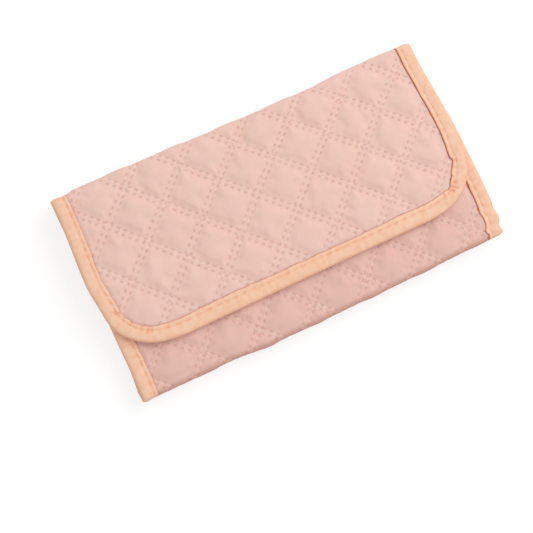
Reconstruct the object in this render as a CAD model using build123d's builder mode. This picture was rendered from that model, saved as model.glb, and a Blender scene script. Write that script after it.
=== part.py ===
"""A folding quilted changing pad, closed like a wallet.

Four padded panels make one long bound strip, and the strip is folded as a zigzag. From the floor
up they are the bottom, middle and front panels and the flap. Each panel is a sandwich: an upper
cover, a layer of wadding, a waterproof film, a second layer of wadding and a lower cover, with
binding tape folded over its raw edges. The covers are quilted: cloth with the loft of its own
puffs stitched under it, in diamonds.

All sizes are in millimetres. X runs across the strip, the lower fold faces -Y, the flap opens
towards +Y, Z is up, and the pad lies on Z = 0 with its middle at X = Y = 0.
"""

from build123d import *
from dataclasses import dataclass
from math import ceil, hypot, sqrt
import os

# Closed size, and the flap
PAD_WIDTH = 220.0
PAD_DEPTH = 120.0
FLAP_SIDE_SETBACK = 2.0
FLAP_DEPTH = 95.4
FLAP_CORNER_RADIUS = 24.0
BOTTOM_EDGE_SETBACK = 1.0
BOTTOM_CORNER_RADIUS = 6.0

# Layers of one panel
PANEL_THICKNESS = 4.0
PUFF_HEIGHT = 1.0
COVER_THICKNESS = 0.4
FILM_THICKNESS = 0.2
TAPE_THICKNESS = 0.6
TAPE_WIDTH = 9.0

# Room between closed panels, and between a fold's tips and the line they turn about
LAYER_GAP = 0.3
FOLD_CLEARANCE = 0.2

# Quilting: square diamonds between diagonal stitched channels
DIAMOND_LENGTH = 33.3
CROSSING_X = -9.0
CROSSING_Y = 17.3
CHANNEL_WIDTH = 5.0
CHANNEL_DEPTH = 0.9
PUFF_EDGE_SLOPE = 60.0
PUFF_EDGE_MARGIN = 0.5

# Hook and loop closure
PATCH_WIDTH = 60.0
PATCH_DEPTH = 16.0
PATCH_CORNER_RADIUS = 2.0
PATCH_CLEARANCE = 0.5
PATCH_FROM_BINDING = 4.0

# Levels measured from a panel's own middle plane
HALF_PANEL = PANEL_THICKNESS / 2
VALLEY_LEVEL = HALF_PANEL - PUFF_HEIGHT
TAPE_LEVEL = VALLEY_LEVEL + TAPE_THICKNESS
LAYER_PITCH = PANEL_THICKNESS + LAYER_GAP

UP = 1
DOWN = -1


@dataclass
class Panel:
    """One panel of the strip. A fold is UP or DOWN by the side that faces its neighbour."""

    name: str
    layer: int
    width: float
    front: float
    rear: float
    front_fold: int
    rear_fold: int
    corner_radius: float

    @property
    def middle(self):
        """Height of the panel's middle plane."""
        return HALF_PANEL + self.layer * LAYER_PITCH


LOWER_FOLD = -PAD_DEPTH / 2
FAR_FOLD = PAD_DEPTH / 2
NO_FOLD = 0

bottom = Panel(
    "bottom",
    0,
    PAD_WIDTH,
    LOWER_FOLD + BOTTOM_EDGE_SETBACK,
    FAR_FOLD,
    NO_FOLD,
    UP,
    BOTTOM_CORNER_RADIUS,
)
middle = Panel("middle", 1, PAD_WIDTH, LOWER_FOLD, FAR_FOLD, UP, DOWN, 0)
front = Panel("front", 2, PAD_WIDTH, LOWER_FOLD, FAR_FOLD, DOWN, UP, 0)
flap = Panel(
    "flap",
    3,
    PAD_WIDTH - 2 * FLAP_SIDE_SETBACK,
    FAR_FOLD - FLAP_DEPTH,
    FAR_FOLD,
    NO_FOLD,
    DOWN,
    FLAP_CORNER_RADIUS,
)

PATCH_Y = flap.front + TAPE_WIDTH + PATCH_FROM_BINDING + PATCH_DEPTH / 2


def level(panel, side, distance):
    """Height at a distance above or below the panel's middle plane."""
    return panel.middle + side * distance


def fold_end(panel, tip, outward, inner, reach, inset, start):
    """Side view of the quarter round at a fold, centred on the panel's inner face.

    The round is kept from start, measured outwards and away from the inner face."""
    radius = HALF_PANEL + reach - inset
    centre_y = tip - outward * (HALF_PANEL + reach)
    inner_z = level(panel, inner, HALF_PANEL)
    start_out, start_in = start
    keep_y = Align.MIN if outward > 0 else Align.MAX
    keep_z = Align.MAX if inner == UP else Align.MIN
    with BuildSketch() as end:
        with Locations((centre_y, inner_z)):
            Circle(radius)
        with Locations((centre_y + outward * start_out, inner_z - inner * start_in)):
            Rectangle(2 * radius, 2 * radius, align=(keep_y, keep_z), mode=Mode.INTERSECT)
    return end.sketch


def plan_outline(panel, inset, overrun=0.0):
    """Panel seen from above, drawn in from its bound edges and run past its folds."""
    free_front = panel.front_fold == NO_FOLD
    front_edge = panel.front + inset if free_front else panel.front - overrun
    rear_edge = panel.rear + overrun
    with BuildSketch() as plan:
        with Locations((0, (front_edge + rear_edge) / 2)):
            Rectangle(panel.width - 2 * inset, rear_edge - front_edge)
        if panel.corner_radius > inset:
            fillet(plan.vertices().group_by(Axis.Y)[0], radius=panel.corner_radius - inset)
    return plan.sketch


def panel_block(panel, reach, inset, edge_inset):
    """Flat slab with a quarter round at each fold.

    Its faces lie at reach less inset from the middle plane, and edge_inset in from its edges."""
    half_slab = reach - inset
    round_reach = HALF_PANEL + reach
    slab_front = panel.front + (round_reach if panel.front_fold else 0)
    slab_rear = panel.rear - (round_reach if panel.rear_fold else 0)
    below_slab = (0, HALF_PANEL - half_slab)
    at_roll = (inset, inset)
    with BuildPart() as block:
        with BuildSketch(Plane.YZ):
            with Locations(((slab_front + slab_rear) / 2, panel.middle)):
                Rectangle(slab_rear - slab_front, 2 * half_slab)
            for start in (below_slab, at_roll):
                if panel.front_fold:
                    add(fold_end(panel, panel.front, -1, panel.front_fold, reach, inset, start))
                if panel.rear_fold:
                    add(fold_end(panel, panel.rear, 1, panel.rear_fold, reach, inset, start))
        extrude(amount=panel.width / 2, both=True)
        with BuildSketch(Plane.XY.offset(panel.middle)):
            add(plan_outline(panel, edge_inset))
        extrude(amount=PANEL_THICKNESS, both=True, mode=Mode.INTERSECT)
    return block.part


def cut_channels(panel, base):
    """Cut both sets of diagonal stitching channels into the part being built."""
    spacing = DIAMOND_LENGTH / sqrt(2)
    reach = hypot(panel.width / 2 + abs(CROSSING_X), PAD_DEPTH / 2 + abs(CROSSING_Y))
    count = 2 * ceil(reach / spacing) + 1
    floor = base + PUFF_HEIGHT - CHANNEL_DEPTH
    # The V is drawn past the puffs' tops, so the cut leaves no skin there.
    overcut = 1.5
    rise = CHANNEL_DEPTH * overcut
    spread = CHANNEL_WIDTH / 2 * overcut
    for slant in (1, -1):
        across = Plane(origin=(CROSSING_X, CROSSING_Y, floor), x_dir=(-slant, 1, 0), z_dir=(1, slant, 0))
        with BuildSketch(across) as channels:
            with GridLocations(spacing, 0, count, 1):
                Polygon((0, 0), (spread, rise), (-spread, rise), align=None)
        extrude(channels.sketch, amount=reach, both=True, mode=Mode.SUBTRACT)


def puffs_of(panel, side, with_patch):
    """Raised diamonds on one side of a panel, with room between them for a patch."""
    round_reach = HALF_PANEL + VALLEY_LEVEL
    front_end = panel.front + (round_reach if panel.front_fold else 0)
    rear_end = panel.rear - round_reach
    base = level(panel, UP, VALLEY_LEVEL)
    with BuildPart() as puffs:
        with BuildSketch(Plane.XY.offset(base)):
            add(plan_outline(panel, TAPE_WIDTH + PUFF_EDGE_MARGIN))
            with Locations((0, (front_end + rear_end) / 2)):
                Rectangle(panel.width, rear_end - front_end, mode=Mode.INTERSECT)
        extrude(amount=PUFF_HEIGHT, taper=PUFF_EDGE_SLOPE)
        cut_channels(panel, base)
        if with_patch:
            with Locations((0, PATCH_Y, base)):
                Box(
                    PATCH_WIDTH + 2 * PATCH_CLEARANCE,
                    PATCH_DEPTH + 2 * PATCH_CLEARANCE,
                    PANEL_THICKNESS,
                    align=(Align.CENTER, Align.CENTER, Align.MIN),
                    mode=Mode.SUBTRACT,
                )
        if side == DOWN:
            mirror(about=Plane.XY.offset(panel.middle), mode=Mode.REPLACE)
    return puffs.part


def core_block(panel, side, with_patch):
    """Everything inside the binding, out to the cover's quilted face on one side."""
    under_tape = panel_block(panel, TAPE_LEVEL, TAPE_THICKNESS, TAPE_THICKNESS)
    between_tapes = panel_block(panel, VALLEY_LEVEL, 0, TAPE_WIDTH)
    puffs = puffs_of(panel, side, with_patch)
    with BuildPart() as core:
        add(under_tape)
        add(between_tapes)
        add(puffs)
    return core.part


def filling_block(panel):
    """Everything between the covers, which are thinnest along the stitching channels."""
    under_tape = panel_block(panel, TAPE_LEVEL, TAPE_THICKNESS + COVER_THICKNESS, TAPE_THICKNESS)
    between_tapes = panel_block(panel, VALLEY_LEVEL, COVER_THICKNESS, TAPE_WIDTH + COVER_THICKNESS)
    with BuildPart() as filling:
        add(under_tape)
        add(between_tapes)
    return filling.part


def kept_side(side):
    """Side of a level plane that a layer above or below it keeps."""
    return Keep.TOP if side == UP else Keep.BOTTOM


def make_cover(panel, side, with_patch, filling):
    """Quilted cover on one side of the filling, wrapped round its half of each fold."""
    core = core_block(panel, side, with_patch)
    with BuildPart() as cover:
        add(core)
        add(filling, mode=Mode.SUBTRACT)
        split(bisect_by=Plane.XY.offset(panel.middle), keep=kept_side(side))
    return cover


def make_wadding(panel, side, filling):
    """Wadding between the film and one cover."""
    film_face = level(panel, side, FILM_THICKNESS / 2)
    with BuildPart() as wadding:
        add(filling)
        split(bisect_by=Plane.XY.offset(film_face), keep=kept_side(side))
    return wadding


def make_film(panel, filling):
    """Waterproof film between the two layers of wadding, caught in the binding."""
    with BuildPart() as film:
        add(filling)
        for side in (UP, DOWN):
            film_face = level(panel, side, FILM_THICKNESS / 2)
            split(bisect_by=Plane.XY.offset(film_face), keep=kept_side(-side))
    return film


def make_binding(panel):
    """Tape folded over the panel's raw edges, as a channel that holds all its layers."""
    outside = panel_block(panel, TAPE_LEVEL, 0, 0)
    under_tape = panel_block(panel, TAPE_LEVEL, TAPE_THICKNESS, TAPE_THICKNESS)
    with BuildPart() as binding:
        add(outside)
        add(under_tape, mode=Mode.SUBTRACT)
        with BuildSketch(Plane.XY.offset(panel.middle)):
            add(plan_outline(panel, TAPE_WIDTH, overrun=TAPE_WIDTH))
        extrude(amount=PANEL_THICKNESS, both=True, mode=Mode.SUBTRACT)
    return binding


def half_of(binding, side):
    """Left or right half of a pair of side bindings."""
    with BuildPart() as half:
        add(binding.part)
        split(bisect_by=Plane.YZ, keep=kept_side(side))
    return half


def make_patch(panel, side):
    """Hook or loop patch, sewn flat on the cover between the puffs."""
    with BuildPart() as patch:
        with BuildSketch(Plane.XY.offset(level(panel, side, VALLEY_LEVEL))):
            with Locations((0, PATCH_Y)):
                RectangleRounded(PATCH_WIDTH, PATCH_DEPTH, PATCH_CORNER_RADIUS)
        extrude(amount=side * PUFF_HEIGHT)
    return patch


def save(piece, name):
    """Label a finished piece and write it as its own STEP file."""
    piece.part.label = name
    export_step(piece.part, f"parts/{name}.step")


os.makedirs("parts", exist_ok=True)

# The closure is between the flap's lower face and the front panel's upper one.
faces_with_patch = ((flap, DOWN), (front, UP))

for panel in (bottom, middle, front, flap):
    filling = filling_block(panel)
    for word, side in (("upper", UP), ("lower", DOWN)):
        with_patch = (panel, side) in faces_with_patch
        save(make_cover(panel, side, with_patch, filling), f"{panel.name}_{word}_cover")
        save(make_wadding(panel, side, filling), f"{panel.name}_{word}_wadding")
    save(make_film(panel, filling), f"{panel.name}_film")

for panel in (bottom, flap):
    save(make_binding(panel), f"{panel.name}_binding")

for panel in (middle, front):
    both_bindings = make_binding(panel)
    save(half_of(both_bindings, DOWN), f"{panel.name}_left_binding")
    save(half_of(both_bindings, UP), f"{panel.name}_right_binding")

save(make_patch(flap, DOWN), "hook_patch")
save(make_patch(front, UP), "loop_patch")

# The panels turn about lines just past the tips of their folds, midway between the layers.
for name, fold_y, layer in (
    ("far_fold", FAR_FOLD + FOLD_CLEARANCE, 0),
    ("lower_fold", LOWER_FOLD - FOLD_CLEARANCE, 1),
    ("flap_fold", FAR_FOLD + FOLD_CLEARANCE, 2),
):
    print(name, "turns about Y", fold_y, "Z", (layer + 1) * LAYER_PITCH - LAYER_GAP / 2)
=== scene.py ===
import math
from dataclasses import dataclass

import bpy
import numpy as np
from mathutils import Matrix, Vector


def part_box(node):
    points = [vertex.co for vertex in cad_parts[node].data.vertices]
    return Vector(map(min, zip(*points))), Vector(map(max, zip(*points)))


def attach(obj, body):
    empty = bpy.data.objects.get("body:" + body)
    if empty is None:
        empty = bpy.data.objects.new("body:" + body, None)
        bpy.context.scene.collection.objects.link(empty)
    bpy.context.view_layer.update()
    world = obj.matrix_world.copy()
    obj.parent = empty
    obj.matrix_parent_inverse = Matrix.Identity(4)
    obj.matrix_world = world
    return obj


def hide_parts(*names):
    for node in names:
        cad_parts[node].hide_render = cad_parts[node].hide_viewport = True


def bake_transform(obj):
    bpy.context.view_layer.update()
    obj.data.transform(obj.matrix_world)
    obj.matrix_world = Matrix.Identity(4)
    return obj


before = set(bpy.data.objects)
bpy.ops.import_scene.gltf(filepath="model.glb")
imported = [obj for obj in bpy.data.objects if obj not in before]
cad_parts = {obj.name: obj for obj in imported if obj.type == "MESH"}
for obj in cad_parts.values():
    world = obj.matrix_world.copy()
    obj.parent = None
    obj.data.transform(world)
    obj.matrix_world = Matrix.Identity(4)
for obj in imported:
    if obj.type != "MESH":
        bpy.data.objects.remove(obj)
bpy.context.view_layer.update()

MM = 0.001

# Signs along z, x and y
UP = 1
DOWN = -1
RIGHT = 1
LEFT = -1
FAR = 1
NEAR = -1

# -------------------- camera

# Millimetres and degrees
AIM = (-20.3, -21.8, 8.0)
AZIMUTH = -70.9
ELEVATION = 77.0
ROLL = 45.7
DISTANCE = 689.0
LENS = 85.0


def add_camera():
    """The camera, rolled about its own line of sight."""
    turn, rise, roll = (math.radians(a) for a in (AZIMUTH, ELEVATION, ROLL))
    back = Vector((math.cos(rise) * math.sin(turn), -math.cos(rise) * math.cos(turn), math.sin(rise)))
    right = (-back).cross(Vector((0, 0, 1))).normalized()
    up = right.cross(-back)
    side = math.cos(roll) * right + math.sin(roll) * up
    top = -math.sin(roll) * right + math.cos(roll) * up
    data = bpy.data.cameras.new("camera")
    data.lens = LENS
    data.sensor_width = 36.0
    data.clip_start = 0.01
    data.clip_end = 20.0
    camera = bpy.data.objects.new("camera", data)
    rotation = Matrix((side, top, back)).transposed().to_4x4()
    place = (Vector(AIM) + DISTANCE * back) * MM
    camera.matrix_world = Matrix.Translation(place) @ rotation
    bpy.context.scene.collection.objects.link(camera)
    bpy.context.scene.camera = camera


add_camera()

# -------------------- sizes

# Sizes that the solids were drawn with, in millimetres
HALF_PANEL = 2.0
PUFF_HEIGHT = 1.0
TAPE_WIDTH = 9.0
FOLD_GAP = 0.3
FLAP_CORNER = 24.0
BOTTOM_CORNER = 6.0
DIAMOND_LENGTH = 33.3
CROSSING_X = -9.0
CROSSING_Y = 17.3

PANELS = ("bottom", "middle", "front", "flap")


def low(node, axis):
    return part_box(node)[0][axis] / MM


def high(node, axis):
    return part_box(node)[1][axis] / MM


# Each panel's middle plane, and the heights of its stitched lines and its tape above that plane
middle_z = {p: (low(p + "_film", 2) + high(p + "_film", 2)) / 2 for p in PANELS}
VALLEY = HALF_PANEL - PUFF_HEIGHT
TAPE_LEVEL = high("flap_binding", 2) - middle_z["flap"]

# How far out the folds reach, the radius of the stitched cloth and of the tape round a fold, and
# where that rounding starts
FOLD_Y = high("middle_left_binding", 1)
VALLEY_ROUND = HALF_PANEL + VALLEY
TAPE_ROUND = HALF_PANEL + TAPE_LEVEL
ROUND_Y = FOLD_Y - VALLEY_ROUND

# Half the width of the body and of the flap, and the y of the two free ends
BODY_HALF = high("front_right_binding", 0)
FLAP_HALF = high("flap_binding", 0)
FLAP_FRONT = low("flap_binding", 1)
BOTTOM_FRONT = low("bottom_binding", 1)

# The panels bound on three sides, with half width, front and corner radius. The others are bound
# on their left and right only
THREE_SIDED = {
    "flap": (FLAP_HALF, FLAP_FRONT, FLAP_CORNER),
    "bottom": (BODY_HALF, BOTTOM_FRONT, BOTTOM_CORNER),
}

# Length of cloth from a fold's tip to the panel's flat part, and from one quilting line to the next
WRAP = math.pi / 2 * VALLEY_ROUND + FOLD_GAP / 2
SPACING = DIAMOND_LENGTH / math.sqrt(2)


def hinge_level(below, above):
    return (middle_z[below] + middle_z[above]) / 2


# -------------------- helpers


def smooth(t):
    t = np.clip(t, 0, 1)
    return t * t * (3 - 2 * t)


def rising(value, start, end):
    """Goes smoothly from 0, where value is start, to 1, where it is end."""
    return smooth((value - start) / (end - start))


def wander(x, y, size, seed):
    """Soft random hills about size millimetres apart, from -1 to 1."""
    cells = 61
    table = np.random.default_rng(seed).uniform(-1, 1, (cells, cells))
    x = np.asarray(x, float) / size
    y = np.asarray(y, float) / size
    column = np.floor(x).astype(int)
    row = np.floor(y).astype(int)
    a = smooth(x - column)
    b = smooth(y - row)

    def at(i, j):
        return table[(column + i) % cells, (row + j) % cells]

    return (at(0, 0) * (1 - a) + at(1, 0) * a) * (1 - b) + (at(0, 1) * (1 - a) + at(1, 1) * a) * b


def bump_at(value, centre, width):
    """A smooth hill of height 1 at centre, which is gone at about twice the width."""
    return np.exp(-(((value - centre) / width) ** 2))


def new_mesh(name, points, quads, material, attributes=()):
    """A smooth mesh object from points in millimetres, an array of quads and values at each point."""
    used, quads = np.unique(quads, return_inverse=True)
    quads = quads.reshape(-1, 4)
    points = points[used] * MM
    mesh = bpy.data.meshes.new(name)
    mesh.vertices.add(len(points))
    mesh.vertices.foreach_set("co", points.astype(np.float32).ravel())
    mesh.loops.add(quads.size)
    mesh.loops.foreach_set("vertex_index", quads.astype(np.int32).ravel())
    mesh.polygons.add(len(quads))
    mesh.polygons.foreach_set("loop_start", np.arange(0, quads.size, 4, dtype=np.int32))
    mesh.update(calc_edges=True)
    mesh.validate()
    mesh.polygons.foreach_set("use_smooth", np.ones(len(mesh.polygons), bool))
    for word, values in attributes:
        values = np.asarray(values, np.float32)[used]
        kind = "FLOAT" if values.ndim == 1 else "FLOAT_VECTOR"
        layer = mesh.attributes.new(word, kind, "POINT")
        layer.data.foreach_set("value" if kind == "FLOAT" else "vector", values.ravel())
    thing = bpy.data.objects.new(name, mesh)
    bpy.context.scene.collection.objects.link(thing)
    mesh.materials.append(material)
    return thing


def grid_quads(rows, columns):
    """Corner indices of every cell, as an array of rows-1 by columns-1 by 4."""
    index = np.arange(rows * columns).reshape(rows, columns)
    return np.stack([index[:-1, :-1], index[1:, :-1], index[1:, 1:], index[:-1, 1:]], -1)


# -------------------- materials


# Threads per metre, the share of light that passes into the quilted cloth, and, in metres, how far
# it passes and how deep the cloth's and the tape's fine relief is
CLOTH_THREADS = 2600.0
TAPE_THREADS = 2200.0
CLOTH_SCATTER = 0.45
LIGHT_REACH = 0.004
BUMP_DEPTH = 0.0003


class Shader:
    """Short way to write a node material."""

    def __init__(self, name):
        self.material = bpy.data.materials.new(name)
        self.material.use_nodes = True
        self.nodes = self.material.node_tree.nodes
        self.links = self.material.node_tree.links
        self.surface = self.nodes["Principled BSDF"]

    def add(self, kind, inputs=(), **settings):
        node = self.nodes.new(kind)
        for word, value in settings.items():
            setattr(node, word, value)
        for word, value in dict(inputs).items():
            self.feed(node.inputs[word], value)
        return node

    def feed(self, socket, value):
        if isinstance(value, bpy.types.NodeSocket):
            self.links.new(value, socket)
        else:
            socket.default_value = value

    def math(self, operation, a, b=0.0, clamp=False):
        return self.add("ShaderNodeMath", {0: a, 1: b}, operation=operation, use_clamp=clamp).outputs[0]

    def mix(self, factor, a, b, blend="MIX"):
        node = self.add("ShaderNodeMix", {0: factor, 6: a, 7: b}, data_type="RGBA", blend_type=blend)
        return node.outputs[2]

    def noise(self, vector, scale, detail=3.0, roughness=0.5):
        inputs = {"Vector": vector, "Scale": scale, "Detail": detail, "Roughness": roughness}
        return self.add("ShaderNodeTexNoise", inputs).outputs[0]

    def attribute(self, name, output="Fac"):
        return self.add("ShaderNodeAttribute", attribute_name=name).outputs[output]

    def set(self, **values):
        for word, value in values.items():
            self.feed(self.surface.inputs[word.replace("_", " ")], value)


def colour(red, green, blue):
    """Linear colour of an sRGB colour written 0 to 255."""
    def linear(c):
        c /= 255
        return c / 12.92 if c <= 0.04045 else ((c + 0.055) / 1.055) ** 2.4
    return (linear(red), linear(green), linear(blue), 1)


def woven_height(shader, place, threads_per_metre, turn=0.0):
    """Height of a plain weave, over and under in both directions."""
    turned = shader.add("ShaderNodeMapping", {"Vector": place, "Rotation": (0, 0, turn)}).outputs[0]
    parts = shader.add("ShaderNodeSeparateXYZ", {0: turned})
    waves = []
    for axis in (0, 1):
        angle = shader.math("MULTIPLY", parts.outputs[axis], threads_per_metre * math.pi)
        waves.append(shader.math("SINE", angle))
    return shader.math("ABSOLUTE", shader.math("MULTIPLY", waves[0], waves[1]))


def cloth_material(name, scatter):
    """The quilted cloth; scatter is how much light passes on through it and its wadding."""
    s = Shader(name)
    place = s.attribute("cloth", "Vector")
    stitch = s.attribute("stitch")
    hollow_shade_and_rim = s.attribute("hollow_shade_and_rim")
    weave = woven_height(s, place, CLOTH_THREADS)
    broad = s.noise(place, 28.0, 2.0)
    fine = s.noise(place, 260.0, 4.0, 0.6)
    base = s.mix(broad, colour(238, 198, 185), colour(242, 204, 192))
    base = s.mix(s.math("MULTIPLY", fine, 0.35), base, colour(229, 184, 172))
    # Painted shade: the cloth darkens in the hollows along the quilting lines
    base = s.mix(s.math("MULTIPLY", hollow_shade_and_rim, 0.08), base, colour(226, 176, 166))
    # Painted shade on the strip below the flap, darkest where it turns under
    shade = s.math("MULTIPLY", s.attribute("front_strip_shade"), 0.25, clamp=True)
    base = s.mix(shade, base, colour(204, 152, 138))
    # Painted highlight on the cloth drawn up between stitches
    base = s.mix(s.math("MULTIPLY", s.attribute("drawn_up_highlight"), 0.38), base, colour(249, 223, 215))
    # Painted shade: the cloth darkens in the stitch dents
    base = s.mix(s.math("MULTIPLY", stitch, 0.58), base, colour(199, 136, 128))
    height = s.math("ADD", s.math("MULTIPLY", weave, 0.35), s.math("MULTIPLY", fine, 1.2))
    bump = s.add("ShaderNodeBump", {"Strength": 0.22, "Distance": BUMP_DEPTH, "Height": height}).outputs[0]
    rough = s.math("ADD", 0.62, s.math("MULTIPLY", fine, 0.16))
    s.set(Base_Color=base, Roughness=rough, Normal=bump)
    s.surface.subsurface_method = "BURLEY"
    s.surface.inputs["Subsurface Weight"].default_value = scatter
    s.surface.inputs["Subsurface Radius"].default_value = (1.0, 0.3, 0.22)
    s.surface.inputs["Subsurface Scale"].default_value = LIGHT_REACH
    s.surface.inputs["Sheen Weight"].default_value = 0.25
    s.surface.inputs["Sheen Roughness"].default_value = 0.4
    s.surface.inputs["Specular IOR Level"].default_value = 0.3
    return s.material


def tape_material():
    """The binding: mottled diagonal weave, with painted shade in its stitching and tucks and on its rolled
    outer edge, its rim painted dark red as the folded edge's colour and as shade, and a painted highlight
    on the raised ridge inside its stitching.
    """
    s = Shader("binding_tape")
    place = s.attribute("cloth", "Vector")
    groove_shade = s.attribute("stitch")
    rim = s.attribute("hollow_shade_and_rim")
    border_shade = s.attribute("border_shade")
    lip_highlight = s.attribute("lip_highlight")
    weave = woven_height(s, place, TAPE_THREADS, math.radians(45))
    broad = s.noise(place, 70.0, 3.0)
    fine = s.noise(place, 420.0, 4.0, 0.6)
    crosswise = s.add("ShaderNodeMapping", {"Vector": place, "Scale": (1.0, 0.22, 1.0)}).outputs[0]
    streaks = s.noise(crosswise, 520.0, 3.0, 0.55)
    skew = {"Vector": place, "Rotation": (0, 0, 0.5), "Scale": (1.0, 0.55, 1.0)}
    patches = s.noise(s.add("ShaderNodeMapping", skew).outputs[0], 310.0, 4.0)
    patches = s.math("MULTIPLY", s.math("SUBTRACT", patches, 0.42), 4.5, clamp=True)
    base = s.mix(broad, colour(246, 202, 173), colour(250, 212, 186))
    base = s.mix(s.math("MULTIPLY", patches, 0.5), base, colour(243, 182, 144))
    base = s.mix(s.math("MULTIPLY", fine, 0.2), base, colour(240, 184, 146))
    base = s.mix(s.math("MULTIPLY", s.math("POWER", streaks, 2.0), 0.35), base, colour(241, 176, 138))
    # Painted highlight on the raised ridge inside the stitching
    base = s.mix(s.math("MULTIPLY", lip_highlight, 0.45), base, colour(254, 220, 192))
    # Painted shade where the tape rolls over its outer edge
    base = s.mix(s.math("MULTIPLY", border_shade, 0.5), base, colour(240, 172, 134))
    # Painted shade in the stitching's dents, the tucks and specks by the inner edge
    base = s.mix(s.math("MULTIPLY", groove_shade, 0.62), base, colour(241, 152, 108))
    # The rim's dark red: the folded edge's own deeper colour, and painted shade in the gap under it
    base = s.mix(s.math("MULTIPLY", rim, 0.9), base, colour(200, 74, 50))
    height = s.math("ADD", s.math("MULTIPLY", weave, 0.5), s.math("MULTIPLY", fine, 1.2))
    height = s.math("ADD", height, s.math("MULTIPLY", streaks, 1.0))
    height = s.math("ADD", height, s.math("MULTIPLY", patches, -0.9))
    bump = s.add("ShaderNodeBump", {"Strength": 0.3, "Distance": BUMP_DEPTH, "Height": height}).outputs[0]
    rough = s.math("ADD", 0.52, s.math("MULTIPLY", fine, 0.2))
    s.set(Base_Color=base, Roughness=rough, Normal=bump)
    s.surface.inputs["Sheen Weight"].default_value = 0.15
    s.surface.inputs["Sheen Roughness"].default_value = 0.4
    s.surface.inputs["Specular IOR Level"].default_value = 0.3
    return s.material


# Of the hook and loop patches, in metres: how far in from the edge the stitches run and the pile
# starts, and the stitches' pitch
PATCH_ROW_IN = 0.0013
PATCH_PILE_IN = 0.0019
PATCH_PITCH = 0.0026


def patch_material(name, node, dark, pale, scale, disorder):
    """Hook or loop tape sewn on round its edge. Scale is its tufts per metre."""
    s = Shader(name)
    corner_low, corner_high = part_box(node)
    place = s.add("ShaderNodeTexCoord").outputs["Object"]
    parts = s.add("ShaderNodeSeparateXYZ", {0: place})
    gaps = []
    for axis in (0, 1):
        centre = (corner_low[axis] + corner_high[axis]) / 2
        half = (corner_high[axis] - corner_low[axis]) / 2
        offset = s.math("ABSOLUTE", s.math("SUBTRACT", parts.outputs[axis], centre))
        gaps.append(s.math("SUBTRACT", half, offset))
    gap = s.math("MINIMUM", gaps[0], gaps[1])
    near_row = s.math("ABSOLUTE", s.math("SUBTRACT", gap, PATCH_ROW_IN))
    row = s.math("SUBTRACT", 1.0, s.math("MULTIPLY", near_row, 2600.0), clamp=True)
    along = s.math("ADD", parts.outputs[0], parts.outputs[1])
    beat = s.math("SINE", s.math("MULTIPLY", along, 2 * math.pi / PATCH_PITCH))
    dash = s.math("ADD", s.math("MULTIPLY", beat, 2.0), 0.9, clamp=True)
    stitch = s.math("MULTIPLY", row, dash)
    tufts = {"Vector": place, "Scale": scale, "Randomness": disorder}
    cells = s.add("ShaderNodeTexVoronoi", tufts).outputs[0]
    fine = s.noise(place, scale * 2, 3.0)
    inside = s.math("MULTIPLY", s.math("SUBTRACT", gap, PATCH_PILE_IN), 3000.0, clamp=True)
    base = s.mix(s.math("MULTIPLY", cells, 1.2, clamp=True), pale, dark)
    base = s.mix(s.math("MULTIPLY", fine, 0.3), base, dark)
    base = s.mix(inside, colour(240, 205, 194), base)
    base = s.mix(s.math("MULTIPLY", stitch, 0.8), base, colour(214, 158, 146))
    height = s.math("MULTIPLY", s.math("ADD", cells, fine), inside)
    height = s.math("SUBTRACT", height, stitch)
    bump = s.add("ShaderNodeBump", {"Strength": 0.7, "Distance": 0.0006, "Height": height}).outputs[0]
    s.set(Base_Color=base, Roughness=s.math("ADD", 0.5, s.math("MULTIPLY", fine, 0.3)), Normal=bump)
    return s.material


CLOTH = cloth_material("quilted_cloth", CLOTH_SCATTER)
LINING = cloth_material("fold_lining", 0.0)
TAPE = tape_material()
HOOK = patch_material("hook_tape", "hook_patch", colour(214, 168, 156), colour(244, 216, 207), 900.0, 0.35)
LOOP = patch_material("loop_tape", "loop_patch", colour(222, 178, 167), colour(242, 208, 198), 1500.0, 1.0)

# -------------------- how the pad has settled

# How far a panel's sides stand out past the solids, at its rear, its middle and its front
SIDE_SPREAD = {
    ("flap", LEFT): (4.6, 6.5, 4.9),
    ("flap", RIGHT): (0.9, 3.2, 1.4),
    ("front", LEFT): (2.6, 1.7, 2.2),
    ("front", RIGHT): (-1.1, 3.6, 3.0),
    ("middle", LEFT): (0.0, -0.6, 2.2),
    ("middle", RIGHT): (-1.1, 3.0, 3.0),
    ("bottom", LEFT): (0.0, -0.8, -0.5),
    ("bottom", RIGHT): (-1.1, 2.6, 2.0),
}


def spread_at(panel, side, y):
    """Sideways spread of one panel's edge at y."""
    rear, middle, front = SIDE_SPREAD[panel, side]
    to_middle = rising(y, 52, 6)
    to_front = rising(y, 8, -14) if panel == "flap" else rising(y, -22, -52)
    return rear + (middle - rear) * to_middle + (front - middle) * to_front


def side_move(panel, x, y):
    """Sideways move of a point near a panel's edge."""
    near = rising(np.abs(x), 50, 95)
    return np.where(x > 0, spread_at(panel, RIGHT, y), -spread_at(panel, LEFT, y)) * near


def droop(panel, x, y):
    """How far the flap's free edge lies past its solid's: less than nothing at the corners."""
    if panel != "flap":
        return 0 * y
    return (1.9 - 3.5 * rising(np.abs(x), 72, 100)) * rising(y, 20, -25)


def rear_pull(x, y):
    """How far the far and flap folds are drawn in: not at all at their right end, most at the left."""
    pull = (1.25 + 0.55 * bump_at(x, 0, 45)) * rising(x, 74, 48) + 1.2 * rising(x, -98, -104)
    return pull * rising(y, 15, 57)


def lower_bulge(x, y):
    """How far the lower fold stands out past its line, most right of its middle."""
    bulge = 0.2 + 1.5 * rising(x, -62, -36) - 0.8 * rising(x, 58, 102)
    return (bulge + 0.15 * wander(x, 0 * x, 17, 5)) * rising(y, -18, -56)


# -------------------- quilted cloth

# Grid cells of the simulated cloth from one quilting line to the next, and how many times finer
# the finished mesh is
SIM_CELLS = 11
FINE = 5
COARSE = 2

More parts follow.
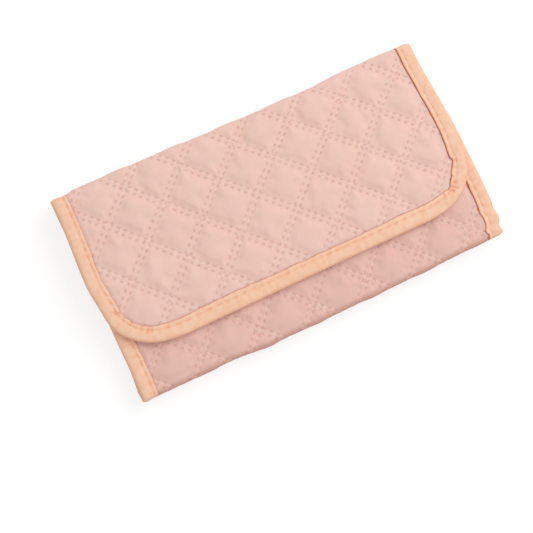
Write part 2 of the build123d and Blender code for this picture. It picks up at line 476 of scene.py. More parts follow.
# Of the quilting, in millimetres: the stitches' pitch, how far each of the two rows lies from the
# line between them, how wide and deep a stitch is pressed, and how high the cloth stands between
# the rows
STITCH_PITCH = 4.07
ROW_OFFSET = 1.43
STITCH_WIDTH = 0.5
STITCH_DEPTH = 0.34
RIDGE = 0.14

# How far the cloth runs in under the tape, how near to the strip's edge it is simulated, and how
# far past a sheet's ends
TAPE_COVER = 7.0
SIM_EDGE = 1.0
SIM_MARGIN = 3

# How high the puffs may stand on the flap, where nothing lies on them
FREE_PUFF = 2.0


@dataclass
class Sheet:
    """One cloth of the strip, over one panel's face, or over two and the fold between them.

    Flat coordinates are x, and v along the strip. On a folded sheet v is 0 at the fold's tip, and
    rises over the second panel, which lies above the first. Side is the end that its fold is at,
    FAR or NEAR. On a plain sheet side is the way that it faces, UP or DOWN. Two quilting lines
    cross at crossing_v."""

    name: str
    first: str
    second: str
    side: int
    crossing_v: float
    v_low: float
    v_high: float
    seed: int

    @property
    def folded(self):
        return self.first != ""

    def y_of(self, v):
        """Where v lies in plan."""
        if not self.folded:
            return v
        return self.side * (ROUND_Y - (np.abs(v) - WRAP))

    def place(self, x, v, h):
        """Points in the row frame, h above the valley level."""
        if not self.folded:
            z = middle_z[self.second] + self.side * (VALLEY + h)
            return np.stack([x, v, z], -1)
        middle = hinge_level(self.first, self.second)
        above = np.sign(v)
        along = np.abs(v)
        angle = np.clip((along - FOLD_GAP / 2) / VALLEY_ROUND, 0, math.pi / 2)
        radius = VALLEY_ROUND + h
        flat = np.clip(along - WRAP, 0, None)
        y = self.side * (ROUND_Y + radius * np.cos(angle) - flat)
        rise = np.minimum(along, FOLD_GAP / 2) + radius * np.sin(angle)
        return np.stack([x, y, middle + above * rise], -1)


def rounded_inset(x, y, half, front, radius):
    """Distance inside a shape with straight sides and two rounded front corners."""
    side_gap = half - np.abs(x)
    front_gap = y - front
    corner = radius - np.hypot(np.clip(radius - side_gap, 0, None), np.clip(radius - front_gap, 0, None))
    return np.where((side_gap < radius) & (front_gap < radius), corner, np.minimum(side_gap, front_gap))


def tape_gap(panel, x, y):
    """Distance from the panel's outer edge, inwards."""
    x = x - side_move(panel, x, y)
    y = y + droop(panel, x, y)
    if panel in THREE_SIDED:
        return rounded_inset(x, y, *THREE_SIDED[panel])
    return BODY_HALF - np.abs(x)


def edge_distance(sheet, x, v):
    """Distance inwards from the strip's edge at flat coordinates x, v."""
    y = sheet.y_of(v)
    second = tape_gap(sheet.second, x, y)
    if not sheet.folded:
        return second
    first = tape_gap(sheet.first, x, y)
    share = rising(v, -3, 3)
    return second * share + first * (1 - share)


def crept(sheet, x, v):
    """Where the quilting really lies: the cloth was cut and bound a little out of square."""
    across = x / 100
    if sheet.name == "flap_cloth":
        along = (np.clip(ROUND_Y + WRAP - v, -40, 62) - 10) / 50
        x = x - 0.7 + 0.2 * across + 0.9 * along - 1.4 * across * along + 1.6 * across**2
        v = v + 1.4 + 0.6 * across + 1.2 * along + 1.4 * across * along + 0.4 * along**2
    if sheet.name == "front_cloth":
        x = x + 2.0 + across**2
        v = v - 0.3
    return x, v


def lattice(sheet, step):
    """Flat coordinates of a grid laid along the quilting lines, and its line numbers."""
    spare_x = 8
    spare_v = 4
    half_width = FLAP_HALF + abs(CROSSING_X) + spare_x
    half_length = max(sheet.v_high - sheet.crossing_v, sheet.crossing_v - sheet.v_low) + spare_v
    count = math.ceil((half_width + half_length) / math.sqrt(2) / SPACING)
    lines = np.arange(-count * step, count * step + 1)
    p, q = np.meshgrid(lines * SPACING / step, lines * SPACING / step, indexing="ij")
    x = CROSSING_X + (p - q) / math.sqrt(2)
    v = sheet.crossing_v + (p + q) / math.sqrt(2)
    x, v = crept(sheet, x, v)
    return lines, x, v


def refine_matrix(count, parts):
    """Weights that turn count samples into parts times as many, on a smooth curve through them."""
    steps = np.arange((count - 1) * parts + 1) / parts
    base = np.minimum(steps.astype(int), count - 2)
    t = steps - base
    weights = (
        (-t + 2 * t**2 - t**3) / 2,
        (2 - 5 * t**2 + 3 * t**3) / 2,
        (t + 4 * t**2 - 3 * t**3) / 2,
        (-(t**2) + t**3) / 2,
    )
    table = np.zeros((len(steps), count))
    for shift, weight in zip((-1, 0, 1, 2), weights):
        np.add.at(table, (np.arange(len(steps)), np.clip(base + shift, 0, count - 1)), weight)
    return table


# The cloth is simulated at ten times its size, from a start this many millimetres above flat
SIM_SCALE = 10
SIM_FRAMES = 24
START_RISE = 0.12
START_FOLDS = 0.10
START_ROUGHNESS = 0.02
CLOTH_SETTINGS = {
    "quality": 5,
    "mass": 0.3,
    "air_damping": 4.0,
    "tension_stiffness": 15.0,
    "compression_stiffness": 15.0,
    "shear_stiffness": 5.0,
    "bending_stiffness": 2.0,
    "vertex_group_mass": "pins",
    "pin_stiffness": 1.0,
    "shrink_min": -0.012,
    "use_pressure": True,
    "uniform_pressure_force": 0.9,
}


def simulate_puffs(sheet, x, v, pinned, used):
    """Cloth between the stitched lines, swollen by the wadding. Returns each point's move."""
    rows, columns = x.shape
    quads = grid_quads(rows, columns).reshape(-1, 4)
    quads = quads[used.ravel()[quads].all(1)]
    kept = np.unique(quads)
    flat = np.stack([x, v, 0 * x], -1).reshape(-1, 3)
    points = flat.copy()
    rng = np.random.default_rng(sheet.seed)
    free = ~pinned.ravel()
    folds = wander(x * 2.2, v * 0.8, 11, sheet.seed).ravel()
    roughness = rng.uniform(0.0, START_ROUGHNESS, free.sum())
    points[free, 2] += START_RISE + START_FOLDS * folds[free] + roughness
    body = new_mesh("sim_" + sheet.name, points * SIM_SCALE, quads, CLOTH)
    pins = body.vertex_groups.new(name="pins")
    pins.add([int(i) for i in np.flatnonzero(pinned.ravel()[kept])], 1.0, "REPLACE")
    cloth = body.modifiers.new("cloth", "CLOTH")
    for word, value in CLOTH_SETTINGS.items():
        setattr(cloth.settings, word, value)
    cloth.settings.effector_weights.gravity = 0.0
    cloth.collision_settings.use_collision = False
    cloth.collision_settings.use_self_collision = False
    cloth.point_cache.frame_start = 1
    cloth.point_cache.frame_end = SIM_FRAMES
    scene = bpy.context.scene
    for number in range(1, SIM_FRAMES + 1):
        scene.frame_set(number)
    result = body.evaluated_get(bpy.context.evaluated_depsgraph_get()).data
    moved = np.empty(len(result.vertices) * 3, np.float32)
    result.vertices.foreach_get("co", moved)
    scene.frame_set(1)
    field = np.zeros((rows * columns, 3))
    field[kept] = moved.reshape(-1, 3) / MM / SIM_SCALE - flat[kept]
    bpy.data.objects.remove(body, do_unlink=True)
    return field.reshape(rows, columns, 3)


def line_distance(lines, step):
    """Distance of each grid line from the nearest quilting line, and that line's number."""
    nearest = np.round(lines / step)
    return (lines / step - nearest) * SPACING, nearest


def row_stitches(lines, step, seed):
    """The stitches along one direction's quilting lines, two rows to a line.

    Returns how strongly each grid point lies in a stitch, and how strongly on the cloth drawn up
    between two stitches, where the cloth is painted lighter as a highlight."""
    offset, number = line_distance(lines, step)
    across = np.zeros((len(lines), len(lines)))
    between = np.zeros((len(lines), len(lines)))
    rng = np.random.default_rng(seed)
    along = lines * SPACING / step
    for each in np.unique(number):
        rows = number == each
        phase = rng.uniform(0, STITCH_PITCH)
        for side in (-1, 1):
            strayed = along - phase - 0.3 * wander(along, each * 7 + side, 9, seed)
            wave = smooth(0.42 + 0.95 * np.cos(2 * math.pi * strayed / STITCH_PITCH))
            strength = 0.72 + 0.28 * wander(along, each + 3 * side, 4, seed + 1)
            depth = bump_at(offset[rows], side * ROW_OFFSET, STITCH_WIDTH)
            beside = bump_at(offset[rows], side * (ROW_OFFSET - 0.45), 0.55)
            drawn_up = (1 - wave) * (0.7 + 0.3 * wander(along, each, 3, seed + 2))
            across[rows] += depth[:, None] * (wave * strength)[None, :]
            between[rows] += beside[:, None] * drawn_up[None, :]
    return across, between


def near_patch(x, y):
    """One under the hook and loop patches, nought away from them."""
    half_x = high("hook_patch", 0)
    centre_y = (low("hook_patch", 1) + high("hook_patch", 1)) / 2
    half_y = high("hook_patch", 1) - centre_y
    across = rising(np.abs(x), half_x + 4.5, half_x + 0.5)
    return across * rising(np.abs(y - centre_y), half_y + 3.8, half_y + 0.3)


def quilt(sheet, parts):
    """Builds a sheet's pieces. Parts gives each piece's name, fineness, and range of v."""
    lines, x, v = lattice(sheet, SIM_CELLS)
    edge = edge_distance(sheet, x, v)
    used = (edge > SIM_EDGE) & (v > sheet.v_low - SIM_MARGIN) & (v < sheet.v_high + SIM_MARGIN)
    offset, _ = line_distance(lines, SIM_CELLS)
    # Held down along the quilting lines, under the tape and at the sheet's ends
    on_line = np.abs(offset) < 0.3
    pinned = on_line[:, None] | on_line[None, :] | (edge < TAPE_WIDTH + 0.6)
    pinned |= (v < sheet.v_low + 1.5) | (v > sheet.v_high - 1.5)
    field = simulate_puffs(sheet, x, v, pinned, used)
    return [quilt_piece(sheet, field, *part) for part in parts]


def quilt_piece(sheet, field, name, fineness, v_from, v_to):
    """One piece of a sheet, with its puffs, small folds, stitches and settling."""
    step = SIM_CELLS * fineness
    spread = refine_matrix(field.shape[0], fineness)
    moves = np.stack([spread @ field[:, :, k] @ spread.T for k in range(3)], -1)
    lines, x, v = lattice(sheet, step)
    y = sheet.y_of(v)
    offset, _ = line_distance(lines, step)
    nearest = np.minimum(np.abs(offset)[:, None], np.abs(offset)[None, :])
    edge = edge_distance(sheet, x, v)

    # The puffs, lower round a fold, with small folds in them
    rise = rising(nearest, 1.1, 5.7)
    off_tape = rising(edge, TAPE_WIDTH, TAPE_WIDTH + 2)
    loft = 1.0
    if sheet.folded:
        loft = 0.35 + 0.65 * rising(np.abs(v), WRAP - 3, WRAP + 6)
    height = np.clip(moves[:, :, 2], -0.3, 1.8) * (0.3 + 0.7 * rise) * off_tape * loft
    folds = 0.1 * wander(x + 0.2 * v, v * 0.3, 6, sheet.seed + 3)
    folds += 0.16 * wander(x, v * 0.4, 12, sheet.seed + 4)
    height += folds * rise * off_tape * loft

    # The stitches, and the cloth between their rows, painted lighter as a highlight where it is drawn up
    # between stitches
    stitches, drawn_up_highlights = row_stitches(lines, step, sheet.seed + 11)
    other_stitches, other_drawn_up_highlights = row_stitches(lines, step, sheet.seed + 12)
    inside_tape = rising(edge, TAPE_WIDTH - 0.5, TAPE_WIDTH + 0.5)
    stitches = np.clip(np.maximum(stitches, other_stitches.T), 0, 1) * inside_tape
    drawn_up_highlights = np.clip(np.maximum(drawn_up_highlights, other_drawn_up_highlights.T), 0, 1) * inside_tape
    height -= STITCH_DEPTH * stitches
    height += RIDGE * bump_at(nearest, 0, 0.7) * off_tape

    # Flat at its ends inside a fold and under the patches, and no higher than the next panel allows
    beside_fold = rising(np.abs(y) if sheet.folded else y, FOLD_Y - 5, FOLD_Y - 1)
    if sheet.folded:
        beside_fold = beside_fold * (np.abs(v) > WRAP + 20)
    height = height * (1 - beside_fold) + (PUFF_HEIGHT - 0.08) * beside_fold * off_tape
    if name in ("front_upper_quilt", "flap_lower_quilt"):
        height = height * (1 - near_patch(x, y))
    ceiling = PUFF_HEIGHT
    if name == "flap_upper_quilt":
        ceiling = FREE_PUFF
    if name == "front_upper_quilt":
        height -= 0.4 * bump_at(y, 4.5 - FOLD_Y, 1.6) * rising(x, -45, -65) * off_tape
        ceiling = PUFF_HEIGHT + rising(y, FLAP_FRONT - 3, FLAP_FRONT - 7)
    height = np.minimum(height, ceiling)

    # Set in place, with the whole sheet's settling
    shift = np.clip(moves[:, :, :2], -1.2, 1.2) * (rise * off_tape)[:, :, None]
    points = sheet.place(x + shift[:, :, 0], v + shift[:, :, 1], height)
    pull = rear_pull(points[:, :, 0], points[:, :, 1])
    if sheet.folded and sheet.side == NEAR:
        pull += lower_bulge(points[:, :, 0], points[:, :, 1])
    points[:, :, 1] -= pull

    keep = (edge > TAPE_WIDTH - TAPE_COVER) & (v >= sheet.v_low) & (v <= sheet.v_high)
    middle_v = (v[:-1, :-1] + v[1:, 1:]) / 2
    wanted = keep[:-1, :-1] & keep[1:, :-1] & keep[1:, 1:] & keep[:-1, 1:]
    wanted &= (middle_v >= v_from) & (middle_v < v_to)
    quads = grid_quads(*x.shape)[wanted]
    if sheet.side == (FAR if sheet.folded else DOWN):
        quads = quads[:, ::-1]

    # Painted shade: the strip below the flap is darker, most of all where it turns under
    front_strip_shade = 0 * x
    if name == "front_upper_quilt":
        front_strip_shade = rising(y, -26, -40) * rising(v, -2, 2) * (1 + 2.6 * rising(y, -55.5, -60.5))
    # Colour masks: painted shade in the stitch dents, in the hollows along the quilting lines and on the
    # strip below the flap, and painted highlights between stitches
    attributes = (
        ("cloth", np.stack([x, v, 0 * x], -1).reshape(-1, 3) * MM),
        ("stitch", stitches.ravel()),
        ("hollow_shade_and_rim", (bump_at(nearest, 0, 2.6) * off_tape).ravel()),
        ("front_strip_shade", front_strip_shade.ravel()),
        ("drawn_up_highlight", drawn_up_highlights.ravel()),
    )
    return new_mesh(name, points.reshape(-1, 3), quads, CLOTH, attributes)


# Along the strip: where a sheet's two pieces meet, how far short of the next fold a sheet stops,
# how far from its edge a free end stops under the tape, the length of a sheet from its fold's tip
# to the next fold, and a length past any end
SEAM = WRAP + 3.0
SHORT = 0.1
HEM = 2
FAR_END = WRAP + ROUND_Y + FOLD_Y - SHORT
BEYOND = 999

sheets = (
    (
        Sheet("flap_cloth", "front", "flap", FAR, WRAP + ROUND_Y - CROSSING_Y, -FAR_END,
              WRAP + ROUND_Y - FLAP_FRONT - HEM, 21),
        (("flap_upper_quilt", FINE, -SEAM, BEYOND), ("front_lower_quilt", COARSE, -BEYOND, -SEAM)),
    ),
    (
        Sheet("front_cloth", "middle", "front", NEAR, WRAP + ROUND_Y + CROSSING_Y, -FAR_END, FAR_END, 22),
        (("front_upper_quilt", FINE, -SEAM, BEYOND), ("middle_lower_quilt", COARSE, -BEYOND, -SEAM)),
    ),
    (
        Sheet("bottom_cloth", "bottom", "middle", FAR, -(WRAP + ROUND_Y - CROSSING_Y),
              -(WRAP + ROUND_Y - BOTTOM_FRONT - HEM), FAR_END, 23),
        (("middle_upper_quilt", COARSE, -SEAM, BEYOND), ("bottom_lower_quilt", COARSE, -BEYOND, -SEAM)),
    ),
    (
        Sheet("flap_lining", "", "flap", DOWN, CROSSING_Y, FLAP_FRONT + HEM, FOLD_Y - SHORT, 24),
        (("flap_lower_quilt", COARSE, -BEYOND, BEYOND),),
    ),
    (
        Sheet("bottom_lining", "", "bottom", UP, CROSSING_Y, BOTTOM_FRONT + HEM, FOLD_Y - SHORT, 25),
        (("bottom_upper_quilt", COARSE, -BEYOND, BEYOND),),
    ),
)

quilts = {}
for sheet, parts in sheets:
    for piece in quilt(sheet, parts):
        quilts[piece.name] = piece

# -------------------- lining across the folds

# How far a band runs up and down past the gap, how far its hems reach in, how far inside the
# fold's outermost line it lies, how far its middle is tucked in, and how far short of the tapes
# it stops
BAND_OVERLAP = 0.08
BAND_HEM = 1.7
BAND_INSET = 0.12
BAND_TUCK = 0.25
BAND_SHORT = 0.5
BAND_COLUMNS = 181


def crease(name, below, above, end):
    """The narrow band of lining between two panels' facing linings, at the fold at one end."""
    level = hinge_level(below, above)
    half_gap = FOLD_GAP / 2 + BAND_OVERLAP
    # The band's hems run in under the ends of the linings
    up_range = np.concatenate([[-2 * half_gap], np.linspace(-half_gap, half_gap, 9), [2 * half_gap]])
    start = -BODY_HALF + TAPE_WIDTH + BAND_SHORT - spread_at(below, LEFT, end * FOLD_Y)
    stop = BODY_HALF - TAPE_WIDTH - BAND_SHORT + spread_at(below, RIGHT, end * FOLD_Y)
    across, up = np.meshgrid(np.linspace(start, stop, BAND_COLUMNS), up_range, indexing="ij")
    hem = np.where(np.abs(up) > half_gap + 0.01, BAND_HEM, 0)
    tuck = BAND_TUCK * np.clip(1 - (up / half_gap) ** 2, 0, 1)
    y = end * (FOLD_Y - BAND_INSET - tuck - hem) - rear_pull(across, end * FOLD_Y)
    points = np.stack([across, y, level + up], -1).reshape(-1, 3)
    cloth = np.stack([across, 200 + 8 * up, 0 * up], -1).reshape(-1, 3) * MM
    quads = grid_quads(*across.shape).reshape(-1, 4)
    if end == NEAR:
        quads = quads[:, ::-1]
    plain = np.zeros(len(points))
    words = ("stitch", "hollow_shade_and_rim", "front_strip_shade", "drawn_up_highlight")
    attributes = [("cloth", cloth)] + [(word, plain) for word in words]
    return new_mesh(name, points, quads, LINING, attributes)


# Each band's panels, and the end of them that its fold is at
creases = {
    "far_fold_lining": ("bottom", "middle", FAR),
    "lower_fold_lining": ("middle", "front", NEAR),
    "flap_fold_lining": ("front", "flap", FAR),
}

# -------------------- binding tape

# Of the tape, in millimetres: the distance between its sections, its stitches' pitch, how far in
# from the edge they run and how deep they are pressed, and the height that no tuck goes below
STATION_STEP = 0.5
TOPSTITCH_PITCH = 5.2
TOPSTITCH_IN = 6.6
TOPSTITCH_DEPTH = 0.24
TUCK_FLOOR = 1.12

# How far round a fold the tape is drawn before the strip that joins it to the next panel's, and
# how much that rounding is flattened
END_ANGLE = math.acos(0.45 / TAPE_ROUND)
END_REACH = 0.88

# The tape's section: distance in from the edge, and height from the middle plane
UPPER_PROFILE = np.array([
    (9.0, 0.86), (9.08, 1.1), (9.06, 1.4), (8.88, 1.56), (8.5, 1.64), (8.0, 1.65), (7.5, 1.61), (7.1, 1.53),
    (6.8, 1.45), (6.6, 1.43), (6.4, 1.46), (6.1, 1.53), (5.6, 1.62), (5.0, 1.7), (4.3, 1.78), (3.5, 1.82),
    (2.7, 1.82), (2.0, 1.76), (1.35, 1.62), (0.8, 1.4), (0.38, 1.06), (0.1, 0.58),
])
PROFILE = np.vstack([UPPER_PROFILE, [(0.0, 0.0)], UPPER_PROFILE[::-1] * (1, -1)])


def outline(panel, side):
    """Stations along a panel's edge, as rows of x, y and the inward direction's x and y."""
    if panel not in THREE_SIDED:
        ys = np.linspace(ROUND_Y, -ROUND_Y, int(2 * ROUND_Y / STATION_STEP))
        return np.array([(side * BODY_HALF, y, -side, 0) for y in ys])
    half, front, radius = THREE_SIDED[panel]
    straight = np.linspace(ROUND_Y, front + radius, int((ROUND_Y - front - radius) / STATION_STEP))
    rows = [(-half, y, 1, 0) for y in straight]
    for a in np.linspace(0, math.pi / 2, max(int(radius * math.pi / 2 / STATION_STEP), 8))[1:]:
        c, s = math.cos(a), math.sin(a)
        rows.append((-half + radius - radius * c, front + radius - radius * s, c, s))
    left = len(rows)
    across = np.linspace(-half + radius, half - radius, int(2 * (half - radius) / STATION_STEP))[1:]
    rows += [(x, front, 0, 1) for x in across]
    # The right side mirrors the left, but for the corner's last station, which is there already
    rows += [(-x, y, -nx, ny) for x, y, nx, ny in rows[left - 2::-1]]
    return np.array(rows)


def fan(end_y, centre_z, outer, height, angle):
    """The y and z of profile points at one angle of a fold's quarter round."""
    sign = 1 if end_y > 0 else -1
    reach = np.clip((outer * height + TAPE_LEVEL) / (2 * TAPE_LEVEL), 0, 1)
    radius = HALF_PANEL + outer * height
    arc_y = END_REACH * radius * math.sin(angle)
    arc_z = outer * radius * math.cos(angle)
    level_y = END_REACH * TAPE_ROUND * math.sin(angle)
    level_z = outer * radius
    y = end_y + sign * (reach * arc_y + (1 - reach) * level_y)
    z = centre_z + reach * arc_z + (1 - reach) * level_z
    return y, z


def lengths_along(points):
    """Length of a line of points from its start to each of them."""
    return np.concatenate([[0], np.cumsum(np.hypot(*np.diff(points, axis=0).T))])


def strip_rows(last, hinge_z):
    """Sections from a fold end's last one to its mirror image above or below the hinge."""
    rows = []
    for part in np.linspace(0, 1, 9):
        row = last.copy()
        row[:, 2] = last[:, 2] + part * 2 * (hinge_z - last[:, 2])
        rows.append(row)
    return rows


def binding(panel, side, front_fold, rear_fold, strip, seed):
    """Tape round one panel's edge, with its rounded fold ends, and the strip to the next panel.

    Each fold is given as the way from the panel to its hinge, UP or DOWN. A panel bound on three
    sides has a rear fold only."""
    stations = outline(panel, side)
    run = lengths_along(stations[:, :2])
    three_sided = panel in THREE_SIDED

    def section(which, length):
        return tape_section(panel, *stations[which], length, seed)

    # Each section is its points, how far along the tape it lies, and its tones
    body = []
    for index, length in enumerate(run):
        place, tones = section(index, length)
        body.append((place, length, tones))
    ends = {}
    strips = []
    for which, end_y, fold in (
        (0, ROUND_Y, rear_fold),
        (-1, ROUND_Y if three_sided else -ROUND_Y, rear_fold if three_sided else front_fold),
    ):
        centre_z = middle_z[panel] + fold * HALF_PANEL
        direction = -1 if which == 0 else 1
        rows = []
        for angle in np.linspace(0, END_ANGLE, 14)[1:]:
            length = run[which] + direction * TAPE_ROUND * angle
            place, tones = section(which, length)
            place[:, 1:] = np.stack(fan(end_y, centre_z, -fold, place[:, 2] - middle_z[panel], angle), -1)
            rows.append((place, length, tones))
        ends[which] = rows
        if strip and (end_y > 0) == (panel in ("flap", "middle")):
            last, length, tones = rows[-1]
            hinge_z = middle_z[panel] + fold * (HALF_PANEL + FOLD_GAP / 2)
            strips.append((which, fold, [(row, length, tones) for row in strip_rows(last, hinge_z)]))
    body = ends[0][::-1] + body + ends[-1]

    quads = [grid_quads(len(body), len(PROFILE)).reshape(-1, 4)]
    sections = list(body)
    half = len(PROFILE) // 2
    for which, fold, rows in strips:
        cells = grid_quads(len(rows), len(PROFILE))
        cells = cells[:, :half] if fold == DOWN else cells[:, half:]
        cells = cells.reshape(-1, 4) + len(sections) * len(PROFILE)
        quads.append(cells[:, ::-1] if which == 0 else cells)
        sections += rows
    quads = np.concatenate(quads)
    points = np.concatenate([place for place, _, _ in sections])
    pull = rear_pull(points[:, 0], points[:, 1])
    if not three_sided:
        pull += lower_bulge(points[:, 0], points[:, 1])
    points[:, 1] -= pull
    if side == LEFT or three_sided:
        quads = quads[:, ::-1]
    across = lengths_along(PROFILE)
    cloth = np.array([[(length, p, 0) for p in across] for _, length, _ in sections]).reshape(-1, 3) * MM
    tones = np.concatenate([tones for _, _, tones in sections])
    word = "left" if side == LEFT else "right"
    name = f"{panel}_tape" if three_sided else f"{panel}_{word}_tape"
    words = ("stitch", "hollow_shade_and_rim", "border_shade", "lip_highlight")
    attributes = [("cloth", cloth)] + [(word, tones[:, k]) for k, word in enumerate(words)]
    return new_mesh(name, points, quads, TAPE, attributes)


# Tucks where the tape is eased round the flap's corners: angle round the corner in degrees,
# how far in from the edge each starts and ends, and its depth
TUCKS = {
    LEFT: ((1, 3.2, 6.4, 0.5), (6, 4.6, 9.2, 0.75), (20, 6.0, 9.2, 0.3), (38, 5.6, 9.2, 0.35),
           (55, 6.2, 9.2, 0.3), (68, 4.2, 7.4, 0.55), (75, 5.0, 8.0, 0.4)),
    RIGHT: ((6, 5.6, 9.2, 0.45), (22, 6.4, 9.2, 0.3), (40, 6.8, 9.2, 0.3), (52, 4.2, 7.2, 0.5),
            (60, 2.8, 9.2, 0.7), (67, 3.6, 9.3, 0.75), (82, 6.0, 9.2, 0.4)),
}


def tucks(side, angle, inward):
    """Depth of the tucks at a point of the flap's corner."""
    depth = 0 * inward
    for centre, start, end, strength in TUCKS[side]:
        reach = rising(inward, start, start + 1.2) * rising(inward, end + 0.8, end)
        depth = depth + strength * bump_at(angle, centre + 0.8 * (inward - 6), 2.1) * reach
    return depth


def tape_section(panel, px, py, nx, ny, run, seed):
    """One section of the tape, with its stitching, waves and tucks: points, and their four tones, which are
    masks for painted shade, for the rim's dark red and for a painted highlight.
    """
    inward, height = PROFILE.T
    face = np.where(height > 0, 1, -1)
    on_row = bump_at(inward, TOPSTITCH_IN, 0.5)
    phase = run / TOPSTITCH_PITCH + 0.2 * wander(run, 0.0, 19, seed)
    dash = smooth(0.5 + 0.8 * math.cos(2 * math.pi * phase)) * (0.7 + 0.3 * wander(run, 5.0, 7, seed + 8))
    gather = 0 * inward
    bend_in = 0.0
    if panel == "flap" and ny > 0 and abs(nx) > 0:
        angle = math.degrees(math.atan2(ny, abs(nx)))
        side = LEFT if px < 0 else RIGHT
        gather = tucks(side, angle, inward)
        if side == RIGHT:
            bend_in = 0.9 * bump_at(angle, 34, 15)
            bend_in -= 0.9 * bump_at(angle, 6, 9) + 0.8 * bump_at(angle, 66, 8)

    # How far the tape stands above its plain section
    off_edge = rising(inward, 0, 2)
    lift = -TOPSTITCH_DEPTH * on_row * dash - gather
    lift = lift + 0.10 * wander(run, inward * face, 6, seed + 1)
    lift = lift + 0.10 * bump_at(inward, 3, 2) * wander(run, 0.0, 9, seed + 2)
    lift = lift + 0.08 * wander(run + 0.25 * inward, inward * 0.2 + 40 * face, 1.6, seed + 6) * off_edge
    lift = lift + 0.07 * wander(run - 0.3 * inward, inward * 0.2 + 90 * face, 3.1, seed + 7) * off_edge
    # No tuck is pressed lower than the cloth beside it
    lift = np.where(inward > 5, np.maximum(lift, TUCK_FLOOR - np.abs(height)), lift)
    z = middle_z[panel] + height + face * np.where(np.abs(height) > 1.2, lift, 0)

    # How far its inner edge wavers
    inner = rising(inward, 6, 9)
    wave = 0.25 * wander(run, face * 9.0, 4, seed + 3) * inner
    wave = wave + 0.25 * wander(run, 0.0, 27, seed + 4) - 0.5 * gather * inner + bend_in * inner
    if panel == "flap":
        wider = bump_at(px, -48, 26) + bump_at(px, 60, 22)
        wave = wave + 0.7 * np.minimum(wider, 1) * ny * inner
    if px > 0:
        # On this side the tape's inner edge leans in and shows its rim, painted dark red as the folded
        # edge's own colour and as shade in the gap under it
        wave = wave + 0.42 * abs(nx) * (inward > 8.95)
    depth = inward + wave
    if panel not in THREE_SIDED:
        depth = depth - ear(px, py)
    x = px + nx * depth
    y = py + ny * depth
    x, y = x + side_move(panel, x, y), y - droop(panel, x, y)

    # Painted shade in the stitching's dents, the tucks and specks by the inner edge
    specks = bump_at(inward, 8.8, 0.4) * smooth(1.6 * wander(run, face, 0.9, seed + 12))
    groove_shade = np.clip(on_row * (0.15 + 0.85 * dash) + 2.0 * gather + 0.7 * specks, 0, 1)
    # The rim's dark red: the folded edge's own deeper colour, and painted shade in the gap under it
    rim = np.where(inward > 8.85, np.clip((1.64 - np.abs(height)) / 0.2, 0, 1), 0)
    # Painted shade where the tape rolls over its outer edge
    border_shade = bump_at(inward, 0, 1.1) * (0.8 + 0.2 * wander(run, 2.0, 5, seed + 9))
    # Painted highlight on the raised ridge inside the stitching
    lip_highlight = bump_at(inward, 8.1, 0.75) * (1 - rim) * (0.55 + 0.45 * wander(run, 3.0, 6, seed + 10))
    return np.stack([x, y, z], -1), np.stack([groove_shade, rim, border_shade, lip_highlight], -1)


def ear(px, py):
    """How far the side tape stands out near the lower fold. On the right it is drawn in."""
    if px > 0:
        return -0.65 * bump_at(py, -45, 2.2) - 2.1 * bump_at(py, -55.5, 2.6) - 0.6 * rising(py, -57, -60)
    return 0.45 * bump_at(py, -54.5, 4) - 0.1


tapes = {
    "flap": binding("flap", LEFT, None, DOWN, True, 41),
    "bottom": binding("bottom", LEFT, None, UP, False, 42),
}
for panel, front_fold, rear_fold, seed in (("front", DOWN, UP, 43), ("middle", UP, DOWN, 45)):
    for word, side in (("left", LEFT), ("right", RIGHT)):
        tapes[f"{panel}_{word}"] = binding(panel, side, front_fold, rear_fold, True, seed + (side == RIGHT))

# -------------------- what each piece rides on and stands for


def bend(piece):
    """Sets the piece's place in the world into its mesh."""
    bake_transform(piece)


bend(quilts["flap_upper_quilt"])
bend(quilts["front_upper_quilt"])
bend(quilts["middle_upper_quilt"])
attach(quilts["front_lower_quilt"], "front_panel")
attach(quilts["middle_lower_quilt"], "middle_panel")
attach(quilts["bottom_lower_quilt"], "bottom_panel")
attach(quilts["flap_lower_quilt"], "flap")
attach(quilts["bottom_upper_quilt"], "bottom_panel")

for panel in PANELS:
    for word in ("upper", "lower"):
        piece = quilts[f"{panel}_{word}_quilt"]
        nodes = [f"{panel}_{word}_cover", f"{panel}_{word}_wadding"]
        if word == "lower":
            nodes.append(f"{panel}_film")
        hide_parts(*nodes)

for name, (below, above, end) in creases.items():
    band = crease(name, below, above, end)
    bend(band)

bend(tapes["flap"])
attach(tapes["bottom"], "bottom_panel")
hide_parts("flap_binding")
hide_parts("bottom_binding")
for word in ("left", "right"):
    bend(tapes["front_" + word])
    bend(tapes["middle_" + word])
    for panel in ("front", "middle"):
        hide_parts(f"{panel}_{word}_binding")

for node, material in (("hook_patch", HOOK), ("loop_patch", LOOP)):
    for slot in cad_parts[node].material_slots:
        slot.material = material

# -------------------- floor and light

# In metres and watts. The floor's glow lifts it to white where the camera sees it
FLOOR_HALF = 2.5
FLOOR_SEEN = (0.3, 0.3, 0.3, 1)
FLOOR_GLOW = 0.74
KEY_PLACE = (1.1, 0.35, 1.25)
KEY_SIZE = 1.3
KEY_POWER = 13.0
SKY_STRENGTH = 0.7
SKY_SEEN = 1.0


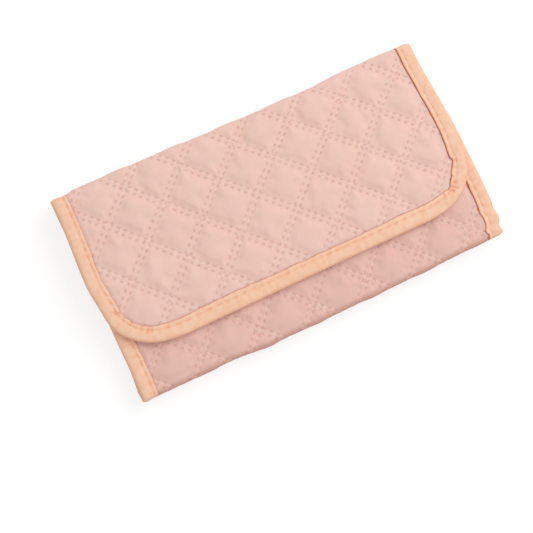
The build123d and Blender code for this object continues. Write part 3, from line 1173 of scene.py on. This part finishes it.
def floor_material():
    """White to the camera and in reflections, and a plainer white to everything else."""
    s = Shader("floor")
    path = s.add("ShaderNodeLightPath")
    seen = s.math("MAXIMUM", path.outputs["Is Camera Ray"], path.outputs["Is Glossy Ray"])
    seen = s.math("MAXIMUM", seen, path.outputs["Is Transmission Ray"])
    grain = s.noise(s.add("ShaderNodeTexCoord").outputs["Object"], 60.0)
    plain = s.mix(s.math("MULTIPLY", grain, 0.02), (0.80, 0.80, 0.80, 1), (0.78, 0.78, 0.78, 1))
    base = s.mix(seen, plain, FLOOR_SEEN)
    diffuse = s.add("ShaderNodeBsdfDiffuse", {"Color": base}).outputs[0]
    glow = s.add("ShaderNodeEmission", {"Strength": s.math("MULTIPLY", seen, FLOOR_GLOW)}).outputs[0]
    both = s.add("ShaderNodeAddShader", {0: diffuse, 1: glow}).outputs[0]
    s.links.new(both, s.nodes["Material Output"].inputs["Surface"])
    s.nodes.remove(s.surface)
    return s.material


def add_floor():
    mesh = bpy.data.meshes.new("floor")
    corners = [(FLOOR_HALF * a, FLOOR_HALF * b, 0) for a, b in ((-1, -1), (1, -1), (1, 1), (-1, 1))]
    mesh.from_pydata(corners, [], [(0, 1, 2, 3)])
    floor = bpy.data.objects.new("floor", mesh)
    bpy.context.scene.collection.objects.link(floor)
    mesh.materials.append(floor_material())


def add_light(name, place, size, power):
    """A square soft light aimed at the pad."""
    data = bpy.data.lights.new(name, "AREA")
    data.energy = power
    data.size = size
    light = bpy.data.objects.new(name, data)
    light.location = place
    light.rotation_euler = (-Vector(place)).to_track_quat("-Z", "Y").to_euler()
    bpy.context.scene.collection.objects.link(light)


def add_sky():
    """Soft light from all round, which is plain white where the camera sees it."""
    world = bpy.data.worlds.new("world")
    bpy.context.scene.world = world
    world.use_nodes = True
    sky = world.node_tree
    background = sky.nodes["Background"]
    background.inputs["Color"].default_value = (1, 1, 1, 1)
    path = sky.nodes.new("ShaderNodeLightPath")
    strength = sky.nodes.new("ShaderNodeMapRange")
    strength.inputs["To Min"].default_value = SKY_STRENGTH
    strength.inputs["To Max"].default_value = SKY_SEEN
    sky.links.new(path.outputs["Is Camera Ray"], strength.inputs["Value"])
    sky.links.new(strength.outputs["Result"], background.inputs["Strength"])


add_floor()
add_light("key", KEY_PLACE, KEY_SIZE, KEY_POWER)
add_sky()

bpy.context.scene.view_settings.view_transform = "Standard"
